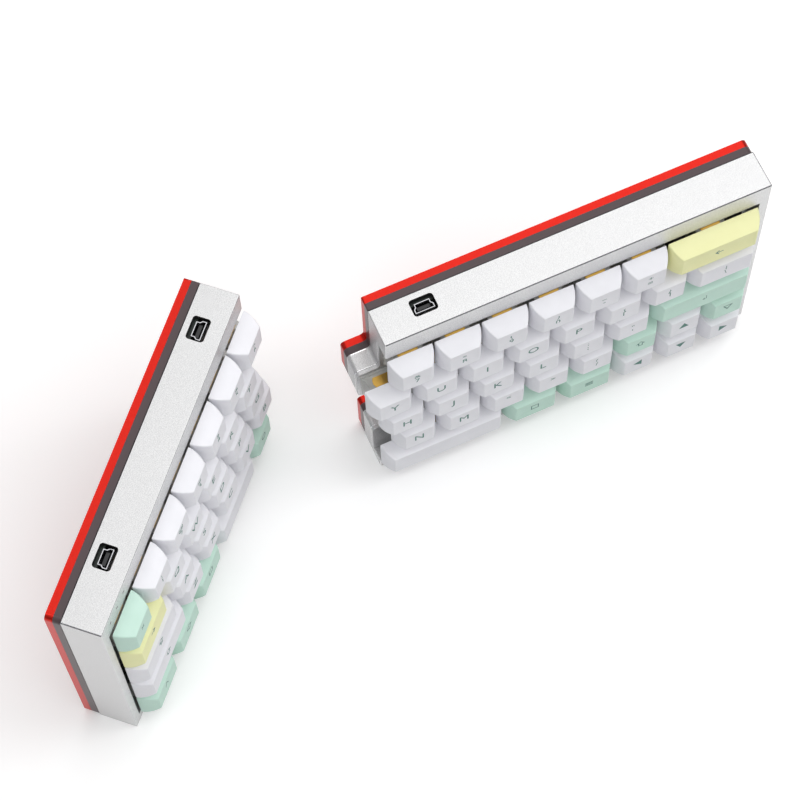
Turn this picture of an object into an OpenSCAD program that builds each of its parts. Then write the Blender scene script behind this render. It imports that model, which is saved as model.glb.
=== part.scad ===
// Ergonomic split keyboard: two aluminium halves with stacked acrylic and red base plates.
// Both halves stand on their front walls, turned towards each other, keys facing -Y.
// Every half is drawn lying down: x runs along the key rows, y up the board,
// z out of the keys, with z = 0 on the bezel. left_half() and right_half() stand it up.

/* [Key grid] */
// Distance between the centres of neighbouring keys
key_pitch = 19.05; // [18.8:0.05:19.6]
// Space between the outer keys' cells and the frame around them
field_gap = 0.4; // [0.3:0.1:0.8]
// Space left between the two halves where they meet
split_gap = 0.5; // [0.4:0.1:1]

/* [Frame] */
// Depth of the aluminium frame, bezel to acrylic
frame_depth = 15.6; // [15.2:0.2:18]
// Thickness of the outer side wall
side_wall = 4; // [3.6:0.2:6]
// Thickness of the front wall that the halves stand on
front_wall = 4.8; // [4.6:0.2:7]
// Depth of the solid strip behind the number row
back_strip = 11.75; // [11.25:0.25:16]
// Width of the ledge that carries the switch plate, inside the key field
ledge = 1.6; // [1.2:0.1:1.8]
// Corner radius of the steps on the split side
step_radius = 1.8; // [1:0.2:2]

/* [Base] */
// Thickness of the smoky acrylic layer
acrylic_t = 3; // [2:0.5:5]
// Thickness of the red base plate
base_t = 3; // [2.5:0.5:5]
// Radius of the outer corners of the acrylic and the base plate
base_radius = 2.5; // [1:0.5:4]
// Radius of the acrylic's and the base plate's back corner at the split
split_corner_radius = 0.6; // [0.4:0.1:1.2]
// Diameter of the rubber feet
foot_d = 9; // [6:0.5:11]
// Height of the rubber feet
foot_h = 1.6; // [1:0.2:2.4]
// Distance from the plate's edges to a foot's centre
foot_inset = 14; // [12:0.5:20]

/* [Switch plate and board] */
// Distance from the bezel down to the switch plate
plate_drop = 6.4; // [6:0.1:7]
// Thickness of the switch plate
plate_t = 1.5; // [1.2:0.1:1.6]
// Distance from the top of the switch plate to the top of the circuit board
board_drop = 5; // [4.9:0.1:5.2]
// Thickness of the circuit board
board_t = 1.6; // [1.2:0.2:2]
// Running space around the circuit board
board_gap = 0.3; // [0.2:0.1:0.6]
// Diameter of the posts that tie the switch plate to the base
post_d = 4; // [3.6:0.2:4.4]

/* [Switches] */
// Square hole in the plate for a switch
switch_hole = 14; // [13.9:0.05:14.1]
// Flange of a switch that rests on the plate
switch_flange = 15.6; // [15.2:0.1:16]
// Height of a switch above the plate
switch_rise = 6.6; // [6.2:0.1:6.8]
// How far a key travels
travel = 4; // [3:0.2:4.2]
// Diameter of the locating peg under a switch
peg_d = 4; // [3.6:0.1:4.2]
// Distance from a wide key's middle to each of its stabilisers
stab_reach = 11.94; // [11.8:0.02:12.2]

/* [Keycaps] */
// Space between neighbouring keycaps
cap_space = 0.9; // [0.7:0.1:1.4]
// Height of a keycap
cap_h = 7.4; // [7.2:0.1:8.6]
// How far each side of a keycap leans in from bottom to top
cap_lean = 3.15; // [2.6:0.05:3.3]
// Thickness of a keycap's walls
cap_wall = 1.4; // [1.2:0.1:1.6]
// Distance from the switch plate up to a keycap's lower edge
cap_lift = 7; // [6.8:0.1:7.4]
// Diameter of the post inside a keycap
cap_post_d = 5.5; // [5.2:0.1:5.7]

/* [Sockets] */
// Width of the opening in the back wall
socket_hole_w = 9.6; // [8.8:0.2:11]
// Height of the opening in the back wall
socket_hole_h = 7; // [6.4:0.2:8]
// Thickness of the wall left behind a socket's pocket
socket_wall = 2.4; // [1.6:0.2:3]
// Width of a socket's metal shell
shell_w = 7.7; // [7.4:0.1:8]
// Height of a socket's metal shell
shell_h = 3.9; // [3.6:0.1:4.2]
// Length of a socket's metal shell
shell_l = 9.2; // [8.4:0.2:10]
// Centre of the host socket from the left edge of the keys
host_socket_x = 23.2; // [21:0.2:26]
// Distance from the split to the centre of the left half's link socket
left_link_in = 17.7; // [15.2:0.1:23]
// Distance from the split to the centre of the right half's link socket
right_link_in = 19.5; // [17.5:0.1:26]

/* [Screws] */
// Diameter of a screw's thread
screw_d = 2; // [1.6:0.1:2.2]
// Length of a screw, head and thread
screw_l = 12; // [10:0.5:13]
// Diameter of a screw's flat head
head_d = 3.8; // [3.4:0.1:4]
// Height of a screw's flat head
head_h = 0.9; // [0.7:0.1:1.2]
// Distance from the back edge to the rear screws
rear_screw_in = 3; // [2.8:0.1:4]
// Distance from a frame's outer side to the screws beside it
side_screw_in = 3; // [2.8:0.1:4]
// Distance from the right frame's outer side to its rear screw
right_rear_screw_in = 5.6; // [2.8:0.1:8]
// Distance from the split to the rear screws beside it
split_screw_in = 5.4; // [4:0.1:6.5]
// Distance from the split to the front screws beside it
front_split_screw_in = 4; // [3.4:0.1:6]
// How far the right half's middle screws are past the middle of its back edge
middle_screw_shift = 2.6; // [-10:0.2:10]

/* [Standing pose] */
// How far the right half is turned
right_turn = 46.9; // [30:0.1:60]
// How far the right half's split corner is to the left of the left half's
corner_shift = 3.1; // [-10:0.1:4]
// Right half's split corner, in front of the left half's bezel
right_y = 56.7; // [50:0.1:80]

/* [Hidden] */
$fn = 48;
WHITE = [0.90, 0.90, 0.92];
MINT = [0.72, 0.86, 0.80];
YELLOW = [0.91, 0.91, 0.68];
SILVER = [0.84, 0.84, 0.84];
RED = [0.84, 0.17, 0.13];
SMOKE = [0.33, 0.29, 0.29, 0.75];

// A key block is its node, row counted from the back, first key's start, widths and colour.
// Starts and widths are in key pitches, from the left edge of the joined board.
LEFT_KEYS = [
    ["key_escape", 0, 0, [1], MINT],
    ["keys_1_2_3", 0, 1, [1, 1, 1], WHITE],
    ["keys_4_5_6", 0, 4, [1, 1, 1], WHITE],
    ["key_tab", 1, 0, [1.5], YELLOW],
    ["keys_q_w_e", 1, 1.5, [1, 1, 1], WHITE],
    ["keys_r_t", 1, 4.5, [1, 1], WHITE],
    ["key_caps_lock", 2, 0, [1.75], WHITE],
    ["keys_a_s_d", 2, 1.75, [1, 1, 1], WHITE],
    ["keys_f_g", 2, 4.75, [1, 1], WHITE],
    ["key_left_shift", 3, 0, [2], WHITE],
    ["keys_z_x_c", 3, 2, [1, 1, 1], WHITE],
    ["keys_v_b", 3, 5, [1, 1], WHITE],
    ["key_control", 4, 0, [1.25], MINT],
    ["key_system", 4, 1.25, [1.25], MINT],
    ["key_left_alt", 4, 2.5, [1.25], MINT],
    ["key_left_space", 4, 3.75, [2], WHITE],
    ["key_layer", 4, 5.75, [1], MINT],
];
RIGHT_KEYS = [
    ["keys_7_8_9", 0, 7, [1, 1, 1], WHITE],
    ["keys_0_minus_equals", 0, 10, [1, 1, 1], WHITE],
    ["key_backspace", 0, 13, [2], YELLOW],
    ["key_y", 1, 6.5, [1], WHITE],
    ["keys_u_i", 1, 7.5, [1, 1], WHITE],
    ["keys_o_p", 1, 9.5, [1, 1], WHITE],
    ["keys_brackets", 1, 11.5, [1, 1], WHITE],
    ["key_backslash", 1, 13.5, [1.5], WHITE],
    ["keys_h_j_k", 2, 6.75, [1, 1, 1], WHITE],
    ["keys_l_semicolon_quote", 2, 9.75, [1, 1, 1], WHITE],
    ["key_enter", 2, 12.75, [2.25], MINT],
    ["keys_n_m", 3, 7, [1, 1], WHITE],
    ["keys_comma_dot_slash", 3, 9, [1, 1, 1], WHITE],
    ["key_right_shift", 3, 12, [1], MINT],
    ["key_up", 3, 13, [1], WHITE],
    ["key_delete", 3, 14, [1], MINT],
    ["key_right_space", 4, 6.75, [2.75], WHITE],
    ["key_right_alt", 4, 9.5, [1.25], MINT],
    ["key_menu", 4, 10.75, [1.25], MINT],
    ["key_left", 4, 12, [1], WHITE],
    ["key_down", 4, 13, [1], WHITE],
    ["key_right", 4, 14, [1], WHITE],
];
STATIC_NODES = ["frame", "acrylic_layer", "base_plate", "switch_plate", "circuit_board",
    "switch_housings", "stabilisers", "screws", "feet"];

// Sides: -1 is the left half, whose keys lie left of the split, and 1 is the right half.
LEFT = -1;
RIGHT = 1;
ROWS = 5;
FIELD_END = 15;
// Where each row meets the split, from the back row to the front row, in key pitches
SPLIT = [7, 6.5, 6.75, 7, 6.75];

back_y = ROWS * key_pitch + field_gap + back_strip;
front_y = -field_gap - front_wall;
far_left = -field_gap - side_wall;
far_right = FIELD_END * key_pitch + field_gap + side_wall;
frame_bottom = -frame_depth;
acrylic_bottom = frame_bottom - acrylic_t;
base_bottom = acrylic_bottom - base_t;
plate_top = -plate_drop;
plate_seat = plate_top - plate_t;
board_top = plate_top - board_drop;
board_bottom = board_top - board_t;
cap_bottom = plate_top + cap_lift;
fit = 0.05;
cut = 1;

// Stack of a key: slider top, pin length and the roof under the keycap's top
slider_proud = 0.6;
slider_above = 1.4;
press_room = 0.4;
slider_top = plate_top + switch_rise + slider_proud;
slider_low = plate_top + slider_above;
slider_w = 6.8;
slider_d = 5.6;
slider_gap = 0.15;
pin_l = 3.2;
pin_span = 4;
pin_t = 1.2;
cap_roof = 1.5;
cap_edge = 0.4;
cap_corner = 1.2;
flange_t = 1;
housing_top = [11, 10.4];
housing_lean_w = 14.6;
peg_l = 3;
stab_w = 6.5;
stab_back = 5;
stab_front = 6.6;
stab_top = slider_top - travel - press_room;
stab_slider = [3.9, 4.8];
stab_slider_low = plate_top - 0.2;
wire_d = 1.5;
wire_y = -8.9;
thread_gap = 0.03;
screw_gap = 0.1;
peg_gap = 0.1;
key_hole_d = 1.5;
key_hole_t = 0.6;
shell_in = 0.9;
shell_t = 0.35;
shoulder = 0.75;
shoulder_low = 1.4;
shoulder_top = 2.2;
block_w = 5.2;
block_t = 1.4;
block_in = 1.2;
tongue_d = 13;
light_first_x = 2.8;
light_pitch = 6;
light_xs = [for (i = [0 : 2]) light_first_x + i * light_pitch];
light_y = ROWS * key_pitch + 6.75;
light_edge = 1.5;
light_d = 1.2;
light_sink = 0.3;
socket_mid = board_top + shell_h / 2;
pocket_roof = socket_mid + socket_hole_h / 2 + 0.4;
left_split_back = SPLIT[0] * key_pitch - split_gap / 2;
right_split_back = SPLIT[0] * key_pitch + split_gap / 2;
left_split_front = SPLIT[4] * key_pitch - split_gap / 2;
right_split_front = SPLIT[4] * key_pitch + split_gap / 2;
left_link_x = left_split_back - left_link_in;
right_link_x = right_split_back + right_link_in;
right_x = left_split_back - corner_shift;
right_middle_screw_x = (right_split_back + far_right) / 2 + middle_screw_shift;
left_tongues = [[light_first_x - light_edge, host_socket_x + tongue_d / 2],
    [left_link_x - tongue_d / 2, left_link_x + tongue_d / 2]];
right_tongues = [[right_link_x - tongue_d / 2, right_link_x + tongue_d / 2]];
left_sockets_x = [host_socket_x, left_link_x];
right_sockets_x = [right_link_x];
front_screw_y = -field_gap - front_wall / 2;
rear_screw_y = back_y - rear_screw_in;
left_rear_screws = [far_left + side_screw_in, (far_left + left_split_back) / 2,
    left_split_back - split_screw_in];
left_front_screws = [far_left + side_screw_in, (far_left + left_split_front) / 2,
    left_split_front - front_split_screw_in];
right_rear_screws = [right_split_back + split_screw_in, right_middle_screw_x,
    far_right - right_rear_screw_in];
right_front_screws = [right_split_front + front_split_screw_in, right_middle_screw_x,
    far_right - side_screw_in];
left_screws_at = concat([for (x = left_rear_screws) [x, rear_screw_y]],
    [for (x = left_front_screws) [x, front_screw_y]]);
right_screws_at = concat([for (x = right_rear_screws) [x, rear_screw_y]],
    [for (x = right_front_screws) [x, front_screw_y]]);
left_posts = [for (p = [[2.5, 4], [5.5, 4], [2.9, 1], [6.1, 1]]) p * key_pitch];
right_posts = [for (p = [[8.3, 4], [12.2, 4], [9.9, 1], [12.5, 1]]) p * key_pitch];
stand_x = (far_left + left_split_front) / 2;
stand_y = -base_bottom / 2;

function unit(v) = v / norm(v);
// Points of an arc that rounds corner p between the corners before and after it
function round_corner(a, p, b, r, steps) =
    let (u = unit(a - p), v = unit(b - p),
        half = acos(u * v) / 2,
        c = p + unit(u + v) * r / sin(half),
        s = p + u * r / tan(half) - c,
        e = p + v * r / tan(half) - c,
        start = atan2(s[1], s[0]),
        turn = atan2(e[1], e[0]) - start,
        sweep = turn > 180 ? turn - 360 : turn < -180 ? turn + 360 : turn)
    [for (i = [0 : steps]) c + r * [cos(start + sweep * i / steps), sin(start + sweep * i / steps)]];
// Outline with a radius for each corner, where 0 keeps the corner sharp
function rounded(points, radii, steps = 6) = [
    for (i = [0 : len(points) - 1])
        let (n = len(points), p = points[i])
        each radii[i] == 0 ? [p]
            : round_corner(points[(i + n - 1) % n], p, points[(i + 1) % n], radii[i], steps)
];
// Stepped split edge from the back row to the front row, moved out by e
function split_edge(side, e) = [
    for (i = [0 : ROWS - 2])
        let (sticks_out = side * sign(SPLIT[i] - SPLIT[i + 1]),
            y = (ROWS - 1 - i) * key_pitch + e * sticks_out)
        each [[SPLIT[i] * key_pitch - side * e, y], [SPLIT[i + 1] * key_pitch - side * e, y]]
];
// Corners of one half: back corner at the split, the steps, then round the other three corners
function half_outline(side, out_side, out_front, out_back, out_split) =
    let (steps = split_edge(side, out_split),
        back = ROWS * key_pitch + out_back,
        front = -out_front,
        outer = side == LEFT ? -out_side : FIELD_END * key_pitch + out_side)
    concat([[steps[0][0], back]], steps,
        [[steps[len(steps) - 1][0], front], [outer, front], [outer, back]]);
function outline_radii(split_corner, step, corner) =
    concat([split_corner], [for (i = [1 : 2 * ROWS - 2]) step], [corner, corner, corner]);
// Outer outline shared by the frame, the acrylic and the base plate
function shell_outline(side, split_corner, corner) = rounded(
    half_outline(side, field_gap + side_wall, field_gap + front_wall,
        field_gap + back_strip, -split_gap / 2),
    outline_radii(split_corner, step_radius, corner));
function total(v, upto) = upto <= 0 ? 0 : v[upto - 1] + total(v, upto - 1);
// Middle and width of each key in a block
function block_keys(k) = [for (i = [0 : len(k[3]) - 1])
    [(k[2] + total(k[3], i) + k[3][i] / 2) * key_pitch, (ROWS - 0.5 - k[1]) * key_pitch, k[3][i]]];
function all_keys(keys) = [for (k = keys) each block_keys(k)];
function wide(c) = c[2] >= 2;
// Corners of a rounded rectangle at height z, with equal steps at each corner
function ring(w, d, r, z, steps) = [
    for (q = [0 : 3]) for (i = [0 : steps])
        let (a = q * 90 + (steps == 0 ? 45 : 90 * i / steps),
            cx = (q == 0 || q == 3 ? 1 : -1) * (w / 2 - r),
            cy = (q < 2 ? 1 : -1) * (d / 2 - r),
            k = steps == 0 ? r * sqrt(2) : r)
        [cx + k * cos(a), cy + k * sin(a), z]
];

module half_slab(points, low, high) {
    translate([0, 0, low]) linear_extrude(high - low) polygon(points);
}

module box(x0, x1, y0, y1, z0, z1) {
    translate([x0, y0, z0]) cube([x1 - x0, y1 - y0, z1 - z0]);
}

module rod(x, y, low, high, d) {
    translate([x, y, low]) cylinder(h = high - low, d = d);
}

// Closed shell through a stack of rings with the same number of points
module loft(rings) {
    n = len(rings[0]);
    top = len(rings) - 1;
    polyhedron(
        points = [for (r = rings) each r],
        faces = concat(
            [[for (i = [0 : n - 1]) i]],
            [for (l = [0 : top - 1]) for (i = [0 : n - 1])
                each [[l * n + i, (l + 1) * n + i, l * n + (i + 1) % n],
                    [l * n + (i + 1) % n, (l + 1) * n + i, (l + 1) * n + (i + 1) % n]]],
            [[for (i = [n - 1 : -1 : 0]) top * n + i]]
        )
    );
}

module left_half() {
    translate([-stand_x, -stand_y, -front_y]) rotate([90, 0, 0]) children();
}

module right_half() {
    translate([right_x - stand_x, -right_y - stand_y, -front_y])
        rotate([0, 0, -right_turn]) rotate([90, 0, 0])
            translate([-SPLIT[0] * key_pitch, 0, 0]) children();
}

// Aluminium frame: bezel, back strip, low split wall, plate ledge and socket pockets
module frame(side, sockets, tongues, screws) {
    color(SILVER) difference() {
        half_slab(shell_outline(side, 0, 0), frame_bottom, 0);
        box(side == LEFT ? -field_gap : min(SPLIT) * key_pitch - key_pitch,
            side == LEFT ? (max(SPLIT) + 1) * key_pitch : FIELD_END * key_pitch + field_gap,
            -field_gap, ROWS * key_pitch + field_gap, plate_seat, cut);
        half_slab(half_outline(side, -ledge, -ledge, -ledge, -ledge), frame_bottom - cut, plate_seat + cut);
        for (t = tongues)
            box(t[0] - board_gap, t[1] + board_gap, ROWS * key_pitch - ledge - cut, back_y - socket_wall,
                frame_bottom - cut, pocket_roof);
        for (x = sockets) socket_opening(x);
        for (p = screws) rod(p[0], p[1], frame_bottom - cut, base_bottom + screw_l + cut,
            screw_d + 2 * thread_gap);
        if (side == LEFT)
            for (x = light_xs) rod(x, light_y, pocket_roof - cut, cut, light_d + 2 * fit);
    }
}

// Rounded opening through the back wall, around a socket's middle
module socket_opening(x) {
    r = 1.3;
    translate([x, back_y + cut, socket_mid]) rotate([90, 0, 0]) linear_extrude(socket_wall + 2 * cut)
        polygon([for (p = ring(socket_hole_w, socket_hole_h, r, 0, 6)) [p[0], p[1]]]);
}

module acrylic_layer(side, screws) {
    color(SMOKE) difference() {
        half_slab(shell_outline(side, split_corner_radius, base_radius), acrylic_bottom, frame_bottom);
        for (p = screws) rod(p[0], p[1], acrylic_bottom - cut, frame_bottom + cut, screw_d + 2 * screw_gap);
    }
}

module base_plate(side, screws) {
    color(RED) difference() {
        half_slab(shell_outline(side, split_corner_radius, base_radius), base_bottom, acrylic_bottom);
        for (p = screws) {
            rod(p[0], p[1], base_bottom - cut, acrylic_bottom + cut, screw_d + 2 * screw_gap);
            translate([p[0], p[1], base_bottom])
                cylinder(h = head_h + fit, d1 = head_d + 2 * fit, d2 = screw_d + 2 * fit);
            rod(p[0], p[1], base_bottom - cut, base_bottom, head_d + 2 * fit);
        }
    }
}

// Plate that holds the switches, with its clinched posts down to the acrylic
module switch_plate(side, keys, posts) {
    color(SILVER) difference() {
        union() {
            half_slab(rounded(half_outline(side, field_gap - fit, field_gap - fit, field_gap - fit,
                -split_gap / 2), outline_radii(0, step_radius, 0)), plate_seat, plate_top);
            for (p = posts) rod(p[0], p[1], frame_bottom, plate_seat, post_d);
        }
        for (c = all_keys(keys)) {
            box(c[0] - switch_hole / 2, c[0] + switch_hole / 2,
                c[1] - switch_hole / 2, c[1] + switch_hole / 2, plate_seat - cut, plate_top + cut);
            if (wide(c))
                for (s = [-1, 1])
                    box(c[0] + s * stab_reach - stab_w / 2 - fit, c[0] + s * stab_reach + stab_w / 2 + fit,
                        c[1] - stab_front - fit, c[1] + stab_back + fit, plate_seat - cut, plate_top + cut);
        }
        for (p = posts)
            rod(p[0], p[1], frame_bottom - cut, base_bottom + screw_l + cut, screw_d + 2 * thread_gap);
    }
}

// Board with its tongues under the sockets, a controller chip and holes for pegs and posts
module circuit_board(side, keys, posts, tongues) {
    inset = ledge + board_gap;
    chip = 9;
    color([0.06, 0.08, 0.07]) difference() {
        union() {
            half_slab(half_outline(side, -inset, -inset, -inset, -inset), board_bottom, board_top);
            for (t = tongues)
                box(t[0], t[1], ROWS * key_pitch - inset - cut, back_y - socket_wall - board_gap,
                    board_bottom, board_top);
            translate([posts[2][0] + key_pitch, posts[2][1], board_bottom - 0.5])
                cube([chip, chip, 1 + fit], center = true);
        }
        for (c = all_keys(keys)) rod(c[0], c[1], board_bottom - cut, board_top + cut, peg_d + 2 * peg_gap);
        for (p = posts) rod(p[0], p[1], board_bottom - cut, board_top + cut, post_d + 2 * board_gap);
    }
}

// Clear switch body: flange on the plate, leaning upper part, channel for the slider and its peg
module switch_housing() {
    inner_w = slider_w + 2 * slider_gap;
    inner_d = slider_d + 2 * slider_gap;
    body = switch_hole - 2 * fit;
    difference() {
        union() {
            loft([ring(housing_lean_w, housing_lean_w, 0, plate_top + flange_t - fit, 0),
                ring(housing_top[0], housing_top[1], 0, plate_top + switch_rise, 0)]);
            box(-switch_flange / 2, switch_flange / 2, -switch_flange / 2, switch_flange / 2,
                plate_top, plate_top + flange_t);
            box(-body / 2, body / 2, -body / 2, body / 2, board_top, plate_top);
            rod(0, 0, board_top - peg_l, board_top, peg_d);
        }
        box(-inner_w / 2, inner_w / 2, -inner_d / 2, inner_d / 2,
            slider_low - travel - press_room, plate_top + switch_rise + cut);
    }
}

module switch_housings(keys) {
    color([0.86, 0.87, 0.84, 0.5])
        for (c = all_keys(keys)) translate([c[0], c[1], 0]) switch_housing();
}

// Stabiliser of one wide key: two guides in the plate joined by the wire in front of the switch
module stabiliser() {
    channel = [stab_slider[0] + 2 * slider_gap, stab_slider[1] + 2 * slider_gap];
    wire_z = plate_top + wire_d / 2 + fit;
    for (s = [-1, 1]) translate([s * stab_reach, 0, 0]) difference() {
        union() {
            box(-stab_w / 2, stab_w / 2, -stab_front, stab_back, board_top, stab_top);
            translate([0, wire_y, wire_z]) rotate([-90, 0, 0])
                cylinder(h = -wire_y - stab_front + cut, d = wire_d);
        }
        box(-channel[0] / 2, channel[0] / 2, -channel[1] / 2, channel[1] / 2,
            stab_slider_low - travel - press_room, stab_top + cut);
    }
    translate([-stab_reach - wire_d / 2, wire_y, wire_z]) rotate([0, 90, 0])
        cylinder(h = 2 * stab_reach + wire_d, d = wire_d);
}

module stabilisers(keys) {
    color([0.16, 0.16, 0.17])
        for (c = all_keys(keys)) if (wide(c)) translate([c[0], c[1], 0]) stabiliser();
}

// Slider with its cross pin, which carries a keycap's post
module slider(w, d, low) {
    box(-w / 2, w / 2, -d / 2, d / 2, low, slider_top);
    cross(pin_span, pin_t, slider_top - fit, slider_top + pin_l);
}

module cross(span, t, low, high) {
    box(-span / 2, span / 2, -t / 2, t / 2, low, high);
    box(-t / 2, t / 2, -span / 2, span / 2, low, high);
}

// One hollow keycap that leans in on all sides, with a socketed post for each slider
module keycap(units) {
    w = units * key_pitch - cap_space;
    d = key_pitch - cap_space;
    near_top = cap_lean * (1 - cap_edge / cap_h);
    inner_top = cap_h - cap_roof;
    inner_lean = cap_lean * inner_top / cap_h;
    iw = w - 2 * cap_wall;
    id = d - 2 * cap_wall;
    translate([0, 0, cap_bottom]) difference() {
        loft([ring(w, d, cap_corner, 0, 3),
            ring(w - 2 * near_top, d - 2 * near_top, cap_corner, cap_h - cap_edge, 3),
            ring(w - 2 * cap_lean - cap_edge, d - 2 * cap_lean - cap_edge, cap_corner, cap_h, 3)]);
        loft([ring(iw + 2 * fit, id + 2 * fit, 0, -fit * cap_h / cap_lean, 0),
            ring(iw - 2 * inner_lean, id - 2 * inner_lean, 0, inner_top, 0)]);
    }
    difference() {
        for (x = post_places(units)) rod(x, 0, slider_top, cap_bottom + cap_h - cap_roof + fit, cap_post_d);
        for (x = post_places(units)) translate([x, 0, 0])
            cross(pin_span + 2 * fit, pin_t + 2 * fit, slider_top - cut, slider_top + pin_l + 0.2);
    }
}

function post_places(units) = units >= 2 ? [0, -stab_reach, stab_reach] : [0];

module key(units) {
    keycap(units);
    slider(slider_w, slider_d, slider_low);
    if (units >= 2)
        for (s = [-1, 1]) translate([s * stab_reach, 0, 0])
            slider(stab_slider[0], stab_slider[1], stab_slider_low);
}

module key_block(k) {
    color(k[4]) for (c = block_keys(k)) translate([c[0], c[1], 0]) key(c[2]);
}

// Half of a socket shell's section is this wide above and below its shoulder
function shell_section(upper, lower, inset, rise) = [
    [-upper, shell_h - inset], [-upper, shoulder_top + rise], [-lower, shoulder_low + rise], [-lower, inset],
    [lower, inset], [lower, shoulder_low + rise], [upper, shoulder_top + rise], [upper, shell_h - inset]
];

// Metal shell on the board, narrower towards the board, with the contact block inside
module socket(x) {
    body = shell_section(shell_w / 2, shell_w / 2 - shoulder, 0, 0);
    bore = shell_section(shell_w / 2 - shell_t, shell_w / 2 - shoulder - shell_t, shell_t, shell_t / 2);
    rear = 2;
    translate([x, back_y - shell_in, board_top]) rotate([90, 0, 0]) {
        difference() {
            linear_extrude(shell_l) polygon(body);
            translate([0, 0, -cut]) linear_extrude(shell_l - rear + cut) polygon(bore);
        }
        translate([-block_w / 2, (shell_h - block_t) / 2, block_in])
            cube([block_w, block_t, shell_l - rear - block_in + fit]);
    }
}

module sockets(xs) {
    color([0.75, 0.76, 0.78]) for (x = xs) socket(x);
}

// Clear light pipes from the board up to the bezel
module indicator_lights() {
    color([0.9, 0.95, 0.9, 0.6])
        for (x = light_xs) rod(x, light_y, board_top, -light_sink, light_d);
}

module screws(places) {
    color([0.30, 0.30, 0.32]) for (p = places) translate([p[0], p[1], base_bottom]) difference() {
        union() {
            cylinder(h = head_h, d1 = head_d, d2 = screw_d);
            cylinder(h = screw_l, d = screw_d);
        }
        translate([0, 0, -cut]) cylinder(h = key_hole_t + cut, d = key_hole_d, $fn = 6);
    }
}

module feet(side) {
    outer_x = side == LEFT ? far_left + foot_inset : far_right - foot_inset;
    split_x = (side == LEFT ? min(SPLIT) : max(SPLIT)) * key_pitch + side * (split_gap / 2 + foot_inset);
    color([0.10, 0.10, 0.10])
        for (x = [outer_x, split_x]) for (y = [front_y + foot_inset, back_y - foot_inset])
            rod(x, y, base_bottom - foot_h, base_bottom, foot_d);
}

left_fixings = concat(left_screws_at, left_posts);
right_fixings = concat(right_screws_at, right_posts);

left_half() frame(LEFT, left_sockets_x, left_tongues, left_screws_at);  // left_frame
left_half() acrylic_layer(LEFT, left_fixings);  // left_acrylic_layer
left_half() base_plate(LEFT, left_fixings);  // left_base_plate
left_half() switch_plate(LEFT, LEFT_KEYS, left_posts);  // left_switch_plate
left_half() circuit_board(LEFT, LEFT_KEYS, left_posts, left_tongues);  // left_circuit_board
left_half() switch_housings(LEFT_KEYS);  // left_switch_housings
left_half() stabilisers(LEFT_KEYS);  // left_stabilisers
left_half() screws(left_fixings);  // left_screws
left_half() feet(LEFT);  // left_feet
left_half() sockets(left_sockets_x);  // left_sockets
left_half() indicator_lights();  // left_indicator_lights
right_half() frame(RIGHT, right_sockets_x, right_tongues, right_screws_at);  // right_frame
right_half() acrylic_layer(RIGHT, right_fixings);  // right_acrylic_layer
right_half() base_plate(RIGHT, right_fixings);  // right_base_plate
right_half() switch_plate(RIGHT, RIGHT_KEYS, right_posts);  // right_switch_plate
right_half() circuit_board(RIGHT, RIGHT_KEYS, right_posts, right_tongues);  // right_circuit_board
right_half() switch_housings(RIGHT_KEYS);  // right_switch_housings
right_half() stabilisers(RIGHT_KEYS);  // right_stabilisers
right_half() screws(right_fixings);  // right_screws
right_half() feet(RIGHT);  // right_feet
right_half() sockets(right_sockets_x);  // right_socket
for (k = LEFT_KEYS) left_half() key_block(k);
for (k = RIGHT_KEYS) right_half() key_block(k);
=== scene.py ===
"""The looks of an ergonomic split keyboard that stands on its front walls in two halves.

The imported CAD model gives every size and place. Sizes here are in millimetres, and MM makes
them metres. In a half's own axes x runs along its key rows, y up the board and z out of the keys,
with x and y counted from the keys' left front corner and z = 0 on the bezel.
"""

import math

import bpy
from mathutils import Matrix, Vector


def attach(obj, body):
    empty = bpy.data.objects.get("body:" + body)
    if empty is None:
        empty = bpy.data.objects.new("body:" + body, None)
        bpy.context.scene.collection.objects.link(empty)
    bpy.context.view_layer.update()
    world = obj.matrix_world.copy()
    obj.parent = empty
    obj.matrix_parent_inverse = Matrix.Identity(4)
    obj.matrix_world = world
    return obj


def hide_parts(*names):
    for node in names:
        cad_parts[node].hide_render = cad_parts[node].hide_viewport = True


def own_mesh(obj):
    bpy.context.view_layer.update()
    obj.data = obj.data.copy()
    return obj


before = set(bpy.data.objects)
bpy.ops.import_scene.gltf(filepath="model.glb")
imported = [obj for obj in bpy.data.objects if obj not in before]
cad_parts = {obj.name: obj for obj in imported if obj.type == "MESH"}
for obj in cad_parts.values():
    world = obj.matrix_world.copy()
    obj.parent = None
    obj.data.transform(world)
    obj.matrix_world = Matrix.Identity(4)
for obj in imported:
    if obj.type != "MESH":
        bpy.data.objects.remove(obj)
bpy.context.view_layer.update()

# Red base plates
# Two 3 mm aluminium plates, anodised red, are the underside of the halves. Every screw starts in
# them. Their edges are machined, with a fine chamfer where the anodising shines.
MM = 0.001


class Wire:
    """A value that runs between the nodes of a finish, with arithmetic on it."""

    def __init__(self, finish, socket):
        self.finish = finish
        self.socket = socket

    def work_out(self, operation, first, second):
        return self.finish.node("ShaderNodeMath", {"operation": operation}, {0: first, 1: second})

    def __add__(self, other):
        return self.work_out("ADD", self, other)

    def __radd__(self, other):
        return self.work_out("ADD", other, self)

    def __sub__(self, other):
        return self.work_out("SUBTRACT", self, other)

    def __rsub__(self, other):
        return self.work_out("SUBTRACT", other, self)

    def __mul__(self, other):
        return self.work_out("MULTIPLY", self, other)

    def __rmul__(self, other):
        return self.work_out("MULTIPLY", other, self)


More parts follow.
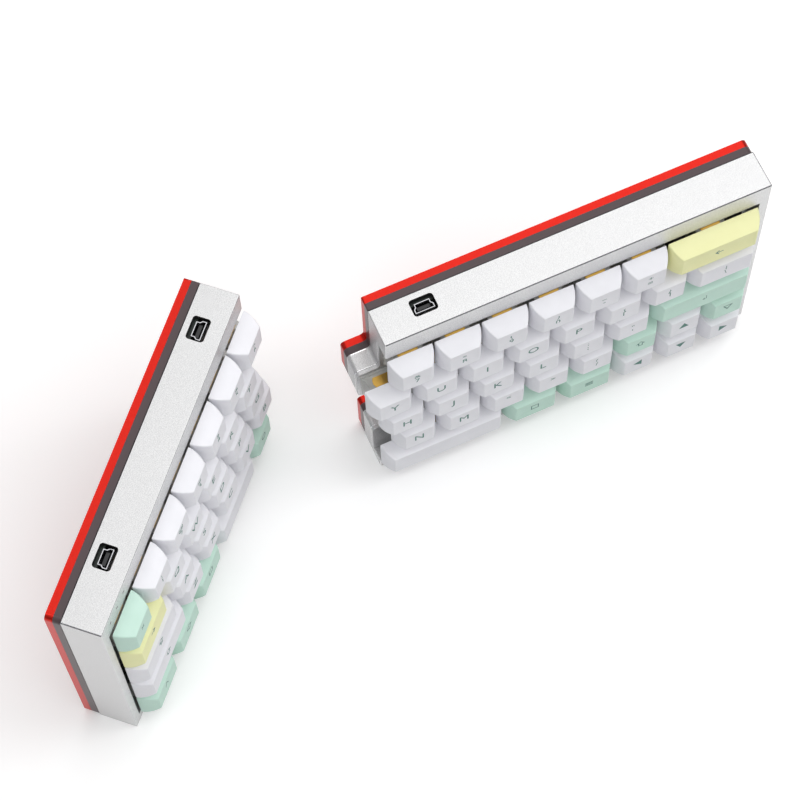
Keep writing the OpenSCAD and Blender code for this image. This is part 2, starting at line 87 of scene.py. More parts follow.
class Finish:
    """One material, built up from nodes around its shader."""

    def __init__(self, name, **looks):
        self.material = bpy.data.materials.new(name)
        self.material.use_nodes = True
        self.tree = self.material.node_tree
        self.shader = self.tree.nodes["Principled BSDF"]
        self.wear(**looks)

    def join(self, value, socket):
        """Fills a socket with a number or colour, or with a wire."""
        if isinstance(value, Wire):
            self.tree.links.new(value.socket, socket)
        else:
            socket.default_value = value

    def wear(self, **looks):
        """Sets the shader's sockets: base_color is Base Color, and so on."""
        for name, value in looks.items():
            label = name.replace("_", " ").title().replace("Ior", "IOR")
            self.join(value, self.shader.inputs[label])

    def node(self, kind, settings={}, values={}, output=0):
        """Adds a node, sets it up, fills its sockets, and returns its output as a wire."""
        made = self.tree.nodes.new(kind)
        for name, value in settings.items():
            if name == "stops":
                for place, colour in zip(made.color_ramp.elements, value):
                    place.position, place.color = colour
            else:
                setattr(made, name, value)
        for name, value in values.items():
            self.join(value, made.inputs[name])
        return Wire(self, made.outputs[output])

    def grain(self, size, detail=2.0):
        """Even noise from 0 to 1 with spots of about this size in millimetres."""
        place = self.node("ShaderNodeTexCoord", output="Object")
        values = {"Vector": place, "Scale": 1 / (size * MM), "Detail": detail}
        return self.node("ShaderNodeTexNoise", {}, values)

    def blend(self, share, first, second):
        """Goes from the first colour to the second as share goes from 0 to 1."""
        values = {"Factor": share, 6: first, 7: second}
        return self.node("ShaderNodeMix", {"data_type": "RGBA"}, values, 2)

    def relief(self, height, depth):
        """Bumps the surface by a height from 0 to 1 that stands for this depth in millimetres."""
        values = {"Height": height, "Distance": depth * MM}
        self.wear(normal=self.node("ShaderNodeBump", {}, values))


def rgb(red, green, blue):
    """A colour as it shows on a screen, from 0 to 255, as the linear colour that shaders take."""
    return (*[((v / 255 + 0.055) / 1.055) ** 2.4 for v in (red, green, blue)], 1)


def select_only(piece):
    """Deselects all but this piece and makes it the active one."""
    bpy.ops.object.select_all(action="DESELECT")
    piece.select_set(True)
    bpy.context.view_layer.objects.active = piece


def merged_copy(node, name, *finishes):
    """A copy of a CAD node with whole faces instead of loose triangles."""
    piece = bpy.data.objects.new(name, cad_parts[node].data.copy())
    bpy.context.scene.collection.objects.link(piece)
    piece.data.materials.clear()
    for finish in finishes:
        piece.data.materials.append(finish.material)
    select_only(piece)
    bpy.ops.object.mode_set(mode="EDIT")
    bpy.ops.mesh.select_all(action="SELECT")
    bpy.ops.mesh.remove_doubles(threshold=0.002 * MM)
    bpy.ops.mesh.dissolve_limited(angle_limit=math.radians(0.5))
    bpy.ops.object.mode_set(mode="OBJECT")
    return piece


def keep_flat(piece):
    """Shades large faces flat and lets only the narrow rounded edges between them turn."""
    bpy.ops.object.shade_smooth_by_angle(angle=math.radians(50))
    normals = piece.modifiers.new("flat faces", "WEIGHTED_NORMAL")
    normals.keep_sharp = True
    bpy.ops.object.modifier_apply(modifier=normals.name)


def eased_copy(node, name, edge, finish):
    """A copy of a CAD node with all its edges slightly rounded off."""
    piece = merged_copy(node, name, finish)
    rounding = piece.modifiers.new("rounded edges", "BEVEL")
    rounding.width = edge * MM
    rounding.segments = 2
    rounding.limit_method = "ANGLE"
    rounding.angle_limit = math.radians(40)
    bpy.ops.object.modifier_apply(modifier=rounding.name)
    keep_flat(piece)
    return piece


red_anodised = Finish("red_anodised", metallic=0.9, roughness=0.36)
cloud = red_anodised.grain(1.4, 3)
red_anodised.wear(base_color=red_anodised.blend(cloud, rgb(190, 34, 25), rgb(202, 40, 30)))
red_anodised.relief(red_anodised.grain(0.25, 2), 0.012)
PLATE_EDGE = 0.35
for side in ("left", "right"):
    plate = eased_copy(f"{side}_base_plate", f"{side}_red_plate", PLATE_EDGE, red_anodised)
    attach(plate, f"{side}_half")
    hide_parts(f"{side}_base_plate")

# Screws and rubber feet
# Flat-headed steel screws with hex sockets go up through the red plate. Four moulded rubber feet
# a half are glued on for use on a desk.
dark_steel = Finish("dark_steel", metallic=1.0)
dark_steel.wear(base_color=(0.09, 0.09, 0.10, 1), roughness=0.28 + 0.2 * dark_steel.grain(0.3))
rubber = Finish("rubber", base_color=(0.012, 0.012, 0.012, 1))
rubber.wear(roughness=0.75 + 0.15 * rubber.grain(0.6))
rubber.relief(rubber.grain(0.35, 3), 0.05)


def wear_on_node(node, finish):
    """Gives a CAD node its finish in place of its plain colour."""
    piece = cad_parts[node]
    piece.data.materials.clear()
    piece.data.materials.append(finish.material)


FOOT_EDGE = 0.6
for side in ("left", "right"):
    wear_on_node(f"{side}_screws", dark_steel)
    pads = eased_copy(f"{side}_feet", f"{side}_rubber_feet", FOOT_EDGE, rubber)
    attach(pads, f"{side}_half")
    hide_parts(f"{side}_feet")

# Smoky acrylic layers
# A 3 mm sheet of smoked clear acrylic lies between the red plate and the frame. Its cut edges look
# deep grey with a soft shine.
smoky_acrylic = Finish("smoky_acrylic", base_color=rgb(98, 84, 87), roughness=0.3)
smoky_acrylic.wear(ior=1.49, transmission_weight=0.3, specular_ior_level=0.1)
smoky_acrylic.relief(smoky_acrylic.grain(3, 1), 0.02)
SHEET_EDGE = 0.15
for side in ("left", "right"):
    sheet = eased_copy(f"{side}_acrylic_layer", f"{side}_smoky_sheet", SHEET_EDGE, smoky_acrylic)
    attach(sheet, f"{side}_half")
    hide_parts(f"{side}_acrylic_layer")

# Aluminium frames
# Each frame is milled from one block, sandblasted and clear anodised: bezel, back strip with the
# socket openings, and low stepped walls at the split. The blasting leaves a fine sparkling grain.
# The chamfers round the back strip and at the split are cut after it. Those at the split shine as
# polished metal; those round the back strip are painted dark grey, a painted reflection of the dark
# room they face.
sandblasted = Finish("sandblasted_aluminium", metallic=0.9)
blast = sandblasted.grain(0.28, 1)
spread = {"Value": blast, "From Min": 0.3, "From Max": 0.7}
sparkle = sandblasted.node("ShaderNodeMapRange", {}, spread)
sandblasted.wear(base_color=sandblasted.blend(sparkle, rgb(192, 192, 193), rgb(225, 225, 225)))
sandblasted.wear(roughness=0.5 - 0.08 * sparkle)
sandblasted.relief(blast, 0.012)
# Dark grey metal on the back strip's chamfers: a painted reflection of the dark room, not the
# chamfer's own bright aluminium.
chamfer_painted_dark = Finish("strip_chamfers_painted_dark", metallic=1.0, base_color=(0.2, 0.2, 0.21, 1))
chamfer_painted_dark.wear(roughness=0.12 + 0.08 * chamfer_painted_dark.grain(0.8))
polished = Finish("polished_edges", metallic=1.0, base_color=(0.86, 0.86, 0.87, 1))
polished.wear(roughness=0.16 + 0.08 * polished.grain(0.8))
# Near black for the walls inside the socket openings: painted shade of the deep pockets, on what is
# the frame's own aluminium.
opening_painted_shade = Finish("socket_openings_painted_shade", base_color=(0.012, 0.012, 0.013, 1))
opening_painted_shade.wear(roughness=0.5 + 0.2 * opening_painted_shade.grain(0.4))
PITCH = 19.05
FRONT = 5.2
TURN = 46.9
LEFT_CORNER = (-61.96875, -10.8)
RIGHT_CORNER = (68.03125, -67.5)
STRIPS_MEET = 7 * PITCH
IN_METRES = Matrix.Scale(MM, 4)
STAND_UP = Matrix.Rotation(math.radians(90), 4, "X")
TURN_AWAY = Matrix.Rotation(math.radians(-TURN), 4, "Z")
HALVES = {
    "left": IN_METRES @ Matrix.Translation((*LEFT_CORNER, FRONT)) @ STAND_UP,
    "right": IN_METRES @ Matrix.Translation((*RIGHT_CORNER, FRONT)) @ TURN_AWAY @ STAND_UP
    @ Matrix.Translation((-STRIPS_MEET, 0, 0)),
}
SOCKET_PLACES = {"left": (23.2, 115.4), "right": (153.1,)}
SOCKET_LEVEL = -9.45
OPENING_REACH = (4.95, 3.65)
STRIP_TOP = 107.4
STRIP_LOW = 98
SPLIT_WALLS = {"left": 112, "right": 152}
CHAMFER = 0.4
CHAMFERED_FROM = 4


def in_opening(spot, side):
    """True for a place on the walls or the rim of a socket's opening."""
    across = min(abs(spot.x - x) for x in SOCKET_PLACES[side]) < OPENING_REACH[0]
    return across and abs(spot.z - SOCKET_LEVEL) < OPENING_REACH[1] and spot.y > STRIP_LOW


def at_split(spot, side):
    """True for a face low on the stepped side where the halves meet."""
    wall = SPLIT_WALLS[side]
    return spot.y < STRIP_LOW and (spot.x > wall if side == "left" else spot.x < wall)


for side in ("left", "right"):
    body = merged_copy(f"{side}_frame", f"{side}_milled_frame",
                       sandblasted, chamfer_painted_dark, opening_painted_shade, polished)
    bpy.ops.object.mode_set(mode="EDIT")
    bpy.ops.mesh.select_all(action="DESELECT")
    bpy.ops.mesh.select_mode(type="EDGE")
    bpy.ops.mesh.edges_select_sharp(sharpness=math.radians(40))
    bpy.ops.object.mode_set(mode="OBJECT")
    spots = body.data.vertices
    for e in body.data.edges:
        first, last = (spots[i].co for i in e.vertices)
        outside = not in_opening(HALVES[side].inverted() @ ((first + last) / 2), side)
        e.select = e.select and outside and (last - first).length > CHAMFERED_FROM * MM
    bpy.ops.object.mode_set(mode="EDIT")
    # The chamfers cut here take material 1, the painted dark reflection, unless they are moved to
    # another finish below.
    bpy.ops.mesh.bevel(offset=CHAMFER * MM, segments=2, affect="EDGES", clamp_overlap=False,
                       material=1)
    bpy.ops.object.mode_set(mode="OBJECT")
    keep_flat(body)
    # Faces inside a socket's opening take the near-black painted shade.
    for f in body.data.polygons:
        spot = HALVES[side].inverted() @ f.center
        if in_opening(spot, side) and spot.y < STRIP_TOP - CHAMFER:
            f.material_index = 2
        elif f.material_index == 1 and at_split(spot, side):
            f.material_index = 3
        elif spot.y < STRIP_TOP - 1 or abs(spot.x - STRIPS_MEET) < 1:
            f.material_index = 0
    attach(body, f"{side}_half")
    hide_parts(f"{side}_frame")
    wear_on_node(f"{side}_switch_plate", sandblasted)

# Circuit boards and indicator lights
# The boards are dark green laminate under the switches. Three clear light pipes stand on the left
# board and end in the bezel. The pipes are coloured dark grey, painted shade of the small holes
# they end in.
laminate = Finish("circuit_board", base_color=(0.012, 0.02, 0.016, 1))
laminate.wear(roughness=0.35 + 0.2 * laminate.grain(1.2))
# Dark grey on clear pipes: painted shade of the holes in the bezel.
light_pipe = Finish("light_pipe", base_color=(0.10, 0.11, 0.10, 1), transmission_weight=0.2)
light_pipe.wear(roughness=0.12 + 0.1 * light_pipe.grain(0.4))
for side in ("left", "right"):
    wear_on_node(f"{side}_circuit_board", laminate)
wear_on_node("left_indicator_lights", light_pipe)

# Sockets
# Each mini-B socket is a plated steel shell, narrower towards the board, round a black contact
# block. It is soldered to its board behind an opening in the back strip. The black also covers the
# shell's inner steel walls, as painted shade inside the mouth.
plated = Finish("plated_steel", metallic=1.0, base_color=(0.45, 0.45, 0.47, 1))
plated.wear(roughness=0.18 + 0.15 * plated.grain(0.5))
black_plastic = Finish("black_plastic", base_color=(0.02, 0.02, 0.022, 1))
black_plastic.wear(roughness=0.42 + 0.1 * black_plastic.grain(0.4))


INSIDE_REACH = (3.3, 1.5)
SHELL_MOUTH = 105.95
SHELL_EDGE = 0.05


def inner_face(spot, side):
    """1 for a face inside a socket's shell, which takes black: the contact block's own colour, and
    painted shade on the shell's inner walls; 0 for one on its outer wall or its mouth.
    """
    across = min(abs(spot.x - x) for x in SOCKET_PLACES[side]) < INSIDE_REACH[0]
    level = abs(spot.z - SOCKET_LEVEL) < INSIDE_REACH[1]
    return int(across and level and spot.y < SHELL_MOUTH)


for node, side in (("left_sockets", "left"), ("right_socket", "right")):
    shell = eased_copy(node, f"{node}_shells", SHELL_EDGE, plated)
    shell.data.materials.append(black_plastic.material)
    # Inside faces get black: real on the contact block, painted shade on the shell's steel walls.
    for f in shell.data.polygons:
        f.material_index = inner_face(HALVES[side].inverted() @ f.center, side)
    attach(shell, f"{side}_half")
    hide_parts(node)

# Switch housings and stabilisers
# The switches have clear moulded housings, clipped into the plate, that show their inner parts.
# Black stabilisers with a steel wire guide the wide keys.
clear_housing = Finish("clear_housing", base_color=(0.95, 0.95, 0.91, 1), alpha=0.45)
clear_housing.wear(roughness=0.12 + 0.06 * clear_housing.grain(0.6))
HOUSING_EDGE = 0.25
for side in ("left", "right"):
    housings = eased_copy(f"{side}_switch_housings", f"{side}_clear_housings", HOUSING_EDGE,
                          clear_housing)
    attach(housings, f"{side}_half")
    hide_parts(f"{side}_switch_housings")
    wear_on_node(f"{side}_stabilisers", black_plastic)

# Keycaps and their sliders
# Hollow caps moulded in hard plastic, white, mint and yellow, with softly bulging sides and a
# finger hollow. Each is pushed on the amber slider of its switch, and its legend is printed. Inside
# the switch are a gold-plated spring under the slider and a contact leaf in the back wall.
CAP_SPACE = 0.9
CAP_HEIGHT = 7.4
CAP_LEAN = 3.15
CAP_WALL = 1.4
CAP_CORNER = 0.5
CAP_TOP_EDGE = 0.22
SIDE_BULGE = 0.65
BACK_BULGE = 0.45
RINGS = (0.4, 1.2, 2.1, 3.1, 4.1, 5.1, 6.0, 6.7)
HOLLOW = 0.5
HOLLOW_STEPS = (0.5, 0.6, 0.7, 0.8, 0.9, 0.9)
SHOULDER = CAP_HEIGHT - 1.3
CAP_BOTTOM = 0.6
NEAR = 1e-3


def choose(piece, kind, wanted):
    """Selects the vertices, edges or faces of a mesh in edit mode for which wanted is true."""
    bpy.ops.mesh.select_all(action="DESELECT")
    bpy.ops.mesh.select_mode(type=kind)
    bpy.ops.object.mode_set(mode="OBJECT")
    spots = piece.data.vertices
    if kind == "VERT":
        for v in spots:
            v.select = wanted([v.co])
    elif kind == "EDGE":
        for e in piece.data.edges:
            e.select = wanted([spots[i].co for i in e.vertices])
    else:
        for f in piece.data.polygons:
            f.select = wanted([spots[i].co for i in f.vertices])
    bpy.ops.object.mode_set(mode="EDIT")


def hollow_depth(x, y, width):
    """How deep the finger hollow is here: round at both ends, and a trough between on wide caps."""
    reach = (PITCH - CAP_SPACE) / 2 - CAP_LEAN
    along = max(abs(x) - (width - PITCH + CAP_SPACE) / 2, 0)
    return HOLLOW * max(1 - (along ** 2 + y ** 2) / (2 * reach ** 2), 0)


def mould_cap(units):
    """One cap of this many pitches, in millimetres, standing on z = 0."""
    width, depth = units * PITCH - CAP_SPACE, PITCH - CAP_SPACE
    bpy.ops.object.select_all(action="DESELECT")
    bpy.ops.mesh.primitive_cube_add(size=1, location=(0, 0, CAP_HEIGHT / 2),
                                    scale=(width, depth, CAP_HEIGHT))
    cap = bpy.context.active_object
    bpy.ops.object.transform_apply(location=True, scale=True)
    bpy.ops.object.mode_set(mode="EDIT")
    choose(cap, "FACE", lambda ps: all(p.z > CAP_HEIGHT - NEAR for p in ps))
    bpy.ops.transform.resize(value=(1 - 2 * CAP_LEAN / width, 1 - 2 * CAP_LEAN / depth, 1))
    choose(cap, "EDGE", lambda ps: abs(ps[0].z - ps[1].z) > NEAR)
    bpy.ops.mesh.bevel(offset=CAP_CORNER, segments=5, affect="EDGES")
    for height in RINGS:
        bpy.ops.mesh.select_all(action="SELECT")
        bpy.ops.mesh.bisect(plane_co=(0, 0, height), plane_no=(0, 0, 1))
    for height in RINGS:
        share = height / CAP_HEIGHT
        arch = 4 * share * (1 - share)
        choose(cap, "VERT", lambda ps: abs(ps[0].z - height) < NEAR)
        bulge = [1 + most * arch / (across / 2 - CAP_LEAN * share)
                 for most, across in ((SIDE_BULGE, width), (BACK_BULGE, depth))]
        bpy.ops.transform.resize(value=(*bulge, 1))
    choose(cap, "EDGE", lambda ps: all(p.z > CAP_HEIGHT - NEAR for p in ps))
    bpy.ops.mesh.bevel(offset=CAP_TOP_EDGE, segments=3, affect="EDGES")
    choose(cap, "FACE", lambda ps: all(p.z > CAP_HEIGHT - NEAR for p in ps))
    flat = [across - 2 * CAP_LEAN - 2 * CAP_TOP_EDGE for across in (width, depth)]
    for step in HOLLOW_STEPS:
        bpy.ops.mesh.inset(thickness=0)
        bpy.ops.transform.resize(value=(*[(f - 2 * step) / f for f in flat], 1))
        flat = [f - 2 * step for f in flat]
    choose(cap, "FACE", lambda ps: all(p.z < NEAR for p in ps))
    bpy.ops.mesh.delete(type="FACE")
    bpy.ops.object.mode_set(mode="OBJECT")
    for v in cap.data.vertices:
        if v.co.z > SHOULDER:
            share = min((v.co.z - SHOULDER) / (CAP_HEIGHT - SHOULDER), 1)
            v.co.z -= hollow_depth(v.co.x, v.co.y, width) * share
    wall = cap.modifiers.new("wall", "SOLIDIFY")
    wall.thickness = CAP_WALL
    wall.offset = -1
    wall.thickness_clamp = 2
    bpy.ops.object.modifier_apply(modifier=wall.name)
    keep_flat(cap)
    return cap


SLIDER = (6.8, 5.6)
SLIDER_LOW = -5.0
SIDE_SLIDER = (3.9, 4.8)
SIDE_SLIDER_LOW = -6.6
SLIDER_TOP = 0.8
SLIDER_RIM = 0.5
SLIDER_SINK = 0.25
SLIDER_CORNER = 0.45
POST_LOW = 0.75
POST_TOP = 6.8
POST_D = 5.5
POST_EDGE = 0.3
SIDE_REACH = 11.94


def mould_slider(size, low):
    """One slider with rounded edges and a sunk top."""
    bpy.ops.object.select_all(action="DESELECT")
    bpy.ops.mesh.primitive_cube_add(size=1, location=(0, 0, (low + SLIDER_TOP) / 2),
                                    scale=(*size, SLIDER_TOP - low))
    stem = bpy.context.active_object
    bpy.ops.object.transform_apply(location=True, scale=True)
    bpy.ops.object.mode_set(mode="EDIT")
    choose(stem, "FACE", lambda ps: all(p.z > SLIDER_TOP - NEAR for p in ps))
    bpy.ops.mesh.inset(thickness=SLIDER_RIM)
    bpy.ops.transform.translate(value=(0, 0, -SLIDER_SINK))
    choose(stem, "EDGE", lambda ps: abs(ps[0].z - ps[1].z) > 1)
    bpy.ops.mesh.bevel(offset=SLIDER_CORNER, segments=2, affect="EDGES")
    bpy.ops.object.mode_set(mode="OBJECT")
    bpy.ops.object.shade_smooth_by_angle(angle=math.radians(40))
    return stem


def mould_post():
    """The round post inside a cap, with an eased lower edge."""
    bpy.ops.object.select_all(action="DESELECT")
    bpy.ops.mesh.primitive_cylinder_add(vertices=24, radius=POST_D / 2, depth=POST_TOP - POST_LOW,
                                        location=(0, 0, (POST_TOP + POST_LOW) / 2))
    post = bpy.context.active_object
    bpy.ops.object.transform_apply(location=True)
    bpy.ops.object.mode_set(mode="EDIT")
    choose(post, "EDGE", lambda ps: all(p.z < POST_LOW + NEAR for p in ps))
    bpy.ops.mesh.bevel(offset=POST_EDGE, segments=2, affect="EDGES")
    bpy.ops.object.mode_set(mode="OBJECT")
    bpy.ops.object.shade_smooth_by_angle(angle=math.radians(40))
    return post


SPRING_LOW = -9.4
SPRING_RADIUS = 2.1
SPRING_WIRE = 0.35
SPRING_TURNS = 7
SPRING_STEPS = 14


def wind_spring():
    """The gold-plated spring between the floor of a switch and its slider."""
    bpy.ops.object.select_all(action="DESELECT")
    bpy.ops.mesh.primitive_circle_add(vertices=6, radius=SPRING_WIRE / 2, fill_type="NGON",
                                      location=(SPRING_RADIUS, 0, SPRING_LOW + SPRING_WIRE / 2),
                                      rotation=(math.radians(90), 0, 0))
    spring = bpy.context.active_object
    bpy.ops.object.transform_apply(location=True, rotation=True)
    coil = spring.modifiers.new("coil", "SCREW")
    coil.iterations = SPRING_TURNS
    coil.screw_offset = (SLIDER_LOW - SPRING_LOW - SPRING_WIRE) / SPRING_TURNS
    coil.steps = coil.render_steps = SPRING_STEPS
    bpy.ops.object.modifier_apply(modifier=coil.name)
    bpy.ops.object.mode_set(mode="EDIT")
    bpy.ops.mesh.select_all(action="SELECT")
    bpy.ops.mesh.normals_make_consistent(inside=False)
    bpy.ops.object.mode_set(mode="OBJECT")
    bpy.ops.object.shade_smooth()
    return spring


CONTACT = (7.6, 0.3, 3.8)
CONTACT_PLACE = (0, 6.2, -2.7)
CONTACT_RIM = 0.8
CONTACT_SINK = 0.04
CONTACT_EARS = (1.14, 1, 0.4)
WALL_LEAN = 20.4


def bend_contact():
    """The gold-plated contact leaf in a switch's back wall, with a sunk middle and two ears."""
    bpy.ops.object.select_all(action="DESELECT")
    bpy.ops.mesh.primitive_cube_add(size=1, scale=CONTACT)
    leaf = bpy.context.active_object
    bpy.ops.object.transform_apply(scale=True)
    bpy.ops.object.mode_set(mode="EDIT")
    side, back = CONTACT[0] / 2, CONTACT[1] / 2
    choose(leaf, "FACE", lambda ps: all(p.y > back - NEAR for p in ps))
    bpy.ops.mesh.inset(thickness=CONTACT_RIM)
    bpy.ops.transform.translate(value=(0, -CONTACT_SINK, 0))
    choose(leaf, "FACE", lambda ps: all(abs(p.x) > side - NEAR for p in ps))
    bpy.ops.mesh.extrude_region_move()
    bpy.ops.transform.resize(value=CONTACT_EARS)
    bpy.ops.object.mode_set(mode="OBJECT")
    leaf.location = CONTACT_PLACE
    leaf.rotation_euler.x = math.radians(WALL_LEAN)
    bpy.ops.object.transform_apply(location=True, rotation=True)
    bpy.ops.object.shade_smooth_by_angle(angle=math.radians(30))
    return leaf


LETTER_SIZE = 5.9
PAIR_SIZE = 4.1
PAIR_RISE = 1.9
SIGN_SIZE = 4.6
INK = 0.04
INK_STANDS = 0.8 * INK
LOW_MARKS = ",._-"
LOW_LEVEL = 0.345
SIGNS = "×→⇪⇧∧◇○□▽←↲☰▲▼◀▶"


def print_mark(mark, size, rise, width):
    """One printed mark, a thin skin of ink that follows the finger hollow."""
    bpy.ops.object.select_all(action="DESELECT")
    bpy.ops.object.text_add()
    ink = bpy.context.active_object
    ink.data.body = mark
    ink.data.size = size
    ink.data.resolution_u = 3
    ink.data.extrude = INK / 2
    bpy.ops.object.convert(target="MESH")
    ink = bpy.context.active_object
    across = [v.co.x for v in ink.data.vertices]
    up = [v.co.y for v in ink.data.vertices]
    level = LOW_LEVEL * size if mark in LOW_MARKS else (max(up) + min(up)) / 2
    for v in ink.data.vertices:
        v.co.x -= (max(across) + min(across)) / 2
        v.co.y += rise - level
        v.co.z += CAP_HEIGHT - hollow_depth(v.co.x, v.co.y, width) + INK_STANDS
    return ink


def print_legend(marks, width):
    """The marks of one cap: one in the middle, or a symbol over a digit or another symbol."""
    if len(marks) == 1:
        return [print_mark(marks, SIGN_SIZE if marks in SIGNS else LETTER_SIZE, 0, width)]
    rises = (PAIR_RISE, -PAIR_RISE)
    return [print_mark(mark, PAIR_SIZE, rise, width) for mark, rise in zip(marks, rises)]


def cap_finish(name, dark, light):
    """Moulded plastic with a fine even grain and a soft shine."""
    plastic = Finish(name)
    plastic.wear(base_color=plastic.blend(plastic.grain(6), rgb(*dark), rgb(*light)))
    plastic.wear(roughness=0.52 + 0.12 * plastic.grain(0.5))
    plastic.relief(plastic.grain(0.22, 2), 0.012)
    return plastic


CAP_FINISHES = {
    "keycap_white": cap_finish("keycap_white", (232, 232, 237), (240, 240, 245)),
    "keycap_mint": cap_finish("keycap_mint", (194, 226, 212), (202, 232, 219)),
    "keycap_yellow": cap_finish("keycap_yellow", (240, 240, 180), (246, 246, 190)),
}
ink_finish = Finish("legend_ink", base_color=rgb(64, 118, 108))
ink_finish.wear(roughness=0.45 + 0.15 * ink_finish.grain(0.3))
amber = Finish("amber_slider")
amber.wear(base_color=amber.blend(amber.grain(1.5), rgb(168, 108, 24), rgb(188, 128, 40)))
amber.wear(roughness=0.3 + 0.1 * amber.grain(0.4))
gold = Finish("gold_plating", metallic=1.0, base_color=(0.56, 0.34, 0.08, 1))
gold.wear(roughness=0.25 + 0.1 * gold.grain(0.4))
LEGENDS = {
    "left": {
        "key_escape": ["×"], "keys_1_2_3": ["!1", "@2", "#3"], "keys_4_5_6": ["$4", "%5", "^6"],
        "key_tab": ["→"], "keys_q_w_e": "QWE", "keys_r_t": "RT",
        "key_caps_lock": ["⇪"], "keys_a_s_d": "ASD", "keys_f_g": "FG",
        "key_left_shift": ["⇧"], "keys_z_x_c": "ZXC", "keys_v_b": "VB",
        "key_control": ["∧"], "key_system": ["◇"], "key_left_alt": ["□"], "key_left_space": [""],
        "key_layer": ["○"],
    },
    "right": {
        "keys_7_8_9": ["&7", "*8", "(9"], "keys_0_minus_equals": [")0", "_-", "+="],
        "key_backspace": ["←"],
        "key_y": "Y", "keys_u_i": "UI", "keys_o_p": "OP", "keys_brackets": ["{[", "}]"],
        "key_backslash": ["|\\"],
        "keys_h_j_k": "HJK", "keys_l_semicolon_quote": ["L", ":;", "\"'"], "key_enter": ["↲"],
        "keys_n_m": "NM", "keys_comma_dot_slash": ["<,", ">.", "?/"], "key_right_shift": ["⇧"],
        "key_up": "▲", "key_delete": ["▽"],
        "key_right_space": [""], "key_right_alt": ["□"], "key_menu": ["☰"], "key_left": "◀",
        "key_down": "▼", "key_right": "▶",
    },
}
MINT_KEYS = ("key_escape", "key_control", "key_system", "key_left_alt", "key_layer", "key_enter",
             "key_right_shift", "key_delete", "key_right_alt", "key_menu")
YELLOW_KEYS = ("key_tab", "key_backspace")
moulds = {
    "slider": mould_slider(SLIDER, SLIDER_LOW),
    "side slider": mould_slider(SIDE_SLIDER, SIDE_SLIDER_LOW),
    "post": mould_post(),
    "spring": wind_spring(),
    "contact": bend_contact(),
}


def cast(mould, place, finish):
    """A copy of a moulded pattern at its place in a half's millimetres."""
    part = bpy.data.objects.new("part", mould.data.copy())
    bpy.context.scene.collection.objects.link(part)
    part.data.transform(Matrix.Translation(place))
    part.data.materials.clear()
    part.data.materials.append(finish.material)
    return part


def join_up(parts, name, place):
    """Makes one piece of these parts, and stands it in its half."""
    select_only(parts[0])
    for part in parts:
        part.select_set(True)
    if len(parts) > 1:
        bpy.ops.object.join()
    piece = bpy.context.active_object
    piece.name = name
    piece.data.transform(place)
    return piece


for side, blocks in LEGENDS.items():
    contacts = []
    for node, legends in blocks.items():
        spots = [HALVES[side].inverted() @ v.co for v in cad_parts[node].data.vertices]
        first, last = min(p.x for p in spots), max(p.x for p in spots)
        y = (min(p.y for p in spots) + max(p.y for p in spots)) / 2
        cell = (last - first + CAP_SPACE) / len(legends)
        units = round(cell / PITCH, 2)
        if units not in moulds:
            moulds[units] = mould_cap(units)
        colour = "keycap_mint" if node in MINT_KEYS else "keycap_white"
        if node in YELLOW_KEYS:
            colour = "keycap_yellow"
        parts = []
        springs = []
        for i, marks in enumerate(legends):
            x = first - CAP_SPACE / 2 + (i + 0.5) * cell
            parts.append(cast(moulds[units], (x, y, CAP_BOTTOM), CAP_FINISHES[colour]))
            for mark in (print_legend(marks, units * PITCH - CAP_SPACE) if marks else []):
                parts.append(cast(mark, (x, y, CAP_BOTTOM), ink_finish))
                bpy.data.objects.remove(mark)
            parts.append(cast(moulds["slider"], (x, y, 0), amber))
            springs.append(cast(moulds["spring"], (x, y, 0), gold))
            contacts.append(cast(moulds["contact"], (x, y, 0), gold))
            parts.append(cast(moulds["post"], (x, y, 0), CAP_FINISHES[colour]))
            for reach in ((-SIDE_REACH, SIDE_REACH) if units >= 2 else ()):
                parts.append(cast(moulds["side slider"], (x + reach, y, 0), black_plastic))
                parts.append(cast(moulds["post"], (x + reach, y, 0), CAP_FINISHES[colour]))
        block = join_up(parts, f"{node}_caps", HALVES[side])
        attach(block, node)
        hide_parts(node)
        coils = join_up(springs, f"{node}_springs", HALVES[side])
        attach(coils, f"{side}_half")
        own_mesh(coils)
    leaves = join_up(contacts, f"{side}_contact_leaves", HALVES[side])
    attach(leaves, f"{side}_half")
for mould in moulds.values():
    bpy.data.objects.remove(mould)

# Floor, light and camera
# A plain pale floor that is white for the camera and for what metal mirrors, a white room that is
# darker low down, a large soft lamp above and three smaller ones round it, and the photograph's
# view from high on the left.
FLOOR_SIZE = 6
GREY = (0.6, 0.6, 0.6, 1)
WHITE = (0.98, 0.98, 0.98, 1)
UNLIT = (0, 0, 0, 1)
GLOW = (0.12, 0.12, 0.12, 1)
bpy.ops.mesh.primitive_plane_add(size=FLOOR_SIZE)
floor = bpy.context.active_object
floor.name = "floor"
paper = Finish("paper", roughness=0.9)
rays = paper.node("ShaderNodeLightPath", output="Is Camera Ray")
for kind in ("Is Glossy Ray", "Is Transmission Ray"):
    rays = rays + paper.node("ShaderNodeLightPath", output=kind)
seen = paper.node("ShaderNodeClamp", {}, {"Value": rays})
paper.wear(base_color=paper.blend(seen, GREY, WHITE))
paper.wear(emission_color=paper.blend(seen, UNLIT, GLOW), emission_strength=1)
floor.data.materials.append(paper.material)

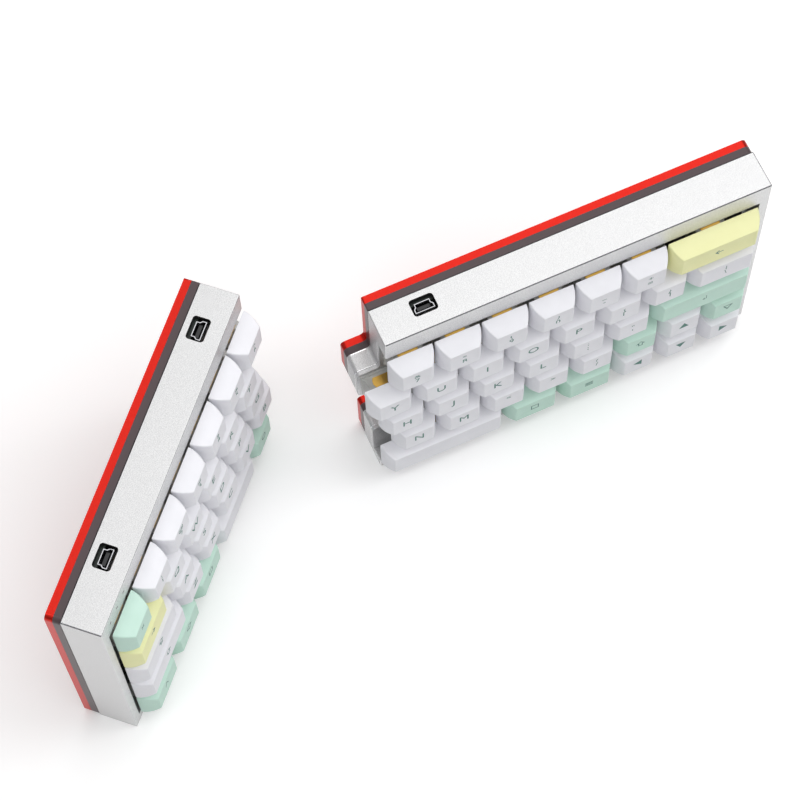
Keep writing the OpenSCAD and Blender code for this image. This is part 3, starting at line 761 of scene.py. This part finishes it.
world = bpy.data.worlds.new("studio")
bpy.context.scene.world = world
world.use_nodes = True
studio = world.node_tree
direction = studio.nodes.new("ShaderNodeTexCoord")
split = studio.nodes.new("ShaderNodeSeparateXYZ")
studio.links.new(direction.outputs["Generated"], split.inputs[0])
FADES = {
    "Y": {"From Min": -0.6, "From Max": 0.9, "To Min": 0.49, "To Max": 0.28},
    "Z": {"From Min": 0.15, "From Max": 0.6, "To Min": 0.12, "To Max": 1.3},
}
level = studio.nodes.new("ShaderNodeMath")
level.operation = "MULTIPLY"
for slot, (axis, ends) in enumerate(FADES.items()):
    fade = studio.nodes.new("ShaderNodeMapRange")
    for name, value in ends.items():
        fade.inputs[name].default_value = value
    studio.links.new(split.outputs[axis], fade.inputs["Value"])
    studio.links.new(fade.outputs["Result"], level.inputs[slot])
seen_white = studio.nodes.new("ShaderNodeMix")
camera_ray = studio.nodes.new("ShaderNodeLightPath").outputs["Is Camera Ray"]
studio.links.new(camera_ray, seen_white.inputs["Factor"])
studio.links.new(level.outputs[0], seen_white.inputs[2])
seen_white.inputs[3].default_value = 1
studio.links.new(seen_white.outputs[0], studio.nodes["Background"].inputs["Strength"])
studio.nodes["Background"].inputs["Color"].default_value = (1, 1, 1, 1)

LIT_PLACE = Vector((0.05, -0.05, 0.05))
LAMPS = {
    "ceiling": ((0.65, -0.3, 1.5), 1.8, 14),
    "back": ((-0.4, 0.3, 1.4), 0.4, 2),
    "front": ((-1.0, -0.5, 0.5), 0.8, 3),
    "key": ((0.5, -1.1, 1.0), 0.6, 3.5),
}
for name, (place, size, power) in LAMPS.items():
    lamp = bpy.data.lights.new(name, "AREA")
    lamp.size = size
    lamp.energy = power
    holder = bpy.data.objects.new(name, lamp)
    bpy.context.scene.collection.objects.link(holder)
    holder.location = place
    holder.rotation_euler = (LIT_PLACE - Vector(place)).to_track_quat("-Z", "Y").to_euler()

FOCAL_LENGTH = 118.12
CAMERA_PLACE = (-0.29013, -0.21333, 0.97541)
CAMERA_TURN = (22.94652, 1.05203, -71.03521)
NEAREST_SEEN = 0.01
lens = bpy.data.cameras.new("photo_camera")
lens.lens = FOCAL_LENGTH
lens.clip_start = NEAREST_SEEN
camera = bpy.data.objects.new("photo_camera", lens)
bpy.context.scene.collection.objects.link(camera)
camera.location = CAMERA_PLACE
bpy.context.scene.camera = camera
camera.rotation_mode = "XYZ"
camera.rotation_euler = [math.radians(a) for a in CAMERA_TURN]

bpy.context.scene.view_settings.view_transform = "Standard"
